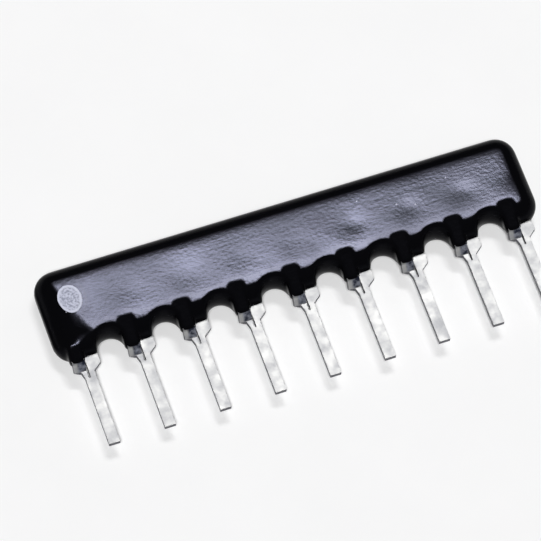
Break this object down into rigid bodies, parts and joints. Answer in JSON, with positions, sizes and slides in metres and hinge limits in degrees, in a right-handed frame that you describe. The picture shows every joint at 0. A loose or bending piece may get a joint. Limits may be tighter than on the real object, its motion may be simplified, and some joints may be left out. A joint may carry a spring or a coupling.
{
  "type": "resistor network",
  "caption": "Single-in-line resistor network: a ceramic plate with printed resistors and a row of clip leads, dipped in black epoxy with a dot that marks the first lead.",
  "frame": {"origin": "centre of the part's bounding box, on the plane that the coat's back lies on", "axes": "+X along the row from lead 1 to the last lead, +Y from the lead tips to the coat's top, +Z out of the marked face"},
  "size_m": [0.0226, 0.0085, 0.0017],
  "materials": {
    "black_epoxy": "glossy dipped epoxy, slightly uneven",
    "tin_plate": "bright tin plate",
    "white_ink": "printed ink, speckled",
    "alumina": "fired, matt",
    "silver_print": "fired silver paste, satin",
    "resistor_film": "fired resistive glaze, satin",
    "overglaze": "fired glass, satin",
    "solder": "solder, satin"
  },
  "bodies": {
    "root": {"epoxy_coat": "black_epoxy", "ceramic_substrate": "alumina", "common_conductor": "silver_print", "overglaze": "overglaze", "pin_1_dot": "white_ink", "pad_2": "silver_print", "pad_3": "silver_print", "pad_4": "silver_print", "pad_5": "silver_print", "pad_6": "silver_print", "pad_7": "silver_print", "pad_8": "silver_print", "pad_9": "silver_print", "resistor_1": "resistor_film", "resistor_2": "resistor_film", "resistor_3": "resistor_film", "resistor_4": "resistor_film", "resistor_5": "resistor_film", "resistor_6": "resistor_film", "resistor_7": "resistor_film", "resistor_8": "resistor_film", "lead_1": "tin_plate", "lead_2": "tin_plate", "lead_3": "tin_plate", "lead_4": "tin_plate", "lead_5": "tin_plate", "lead_6": "tin_plate", "lead_7": "tin_plate", "lead_8": "tin_plate", "lead_9": "tin_plate", "solder_1": "solder", "solder_2": "solder", "solder_3": "solder", "solder_4": "solder", "solder_5": "solder", "solder_6": "solder", "solder_7": "solder", "solder_8": "solder", "solder_9": "solder"}
  },
  "joints": []
}
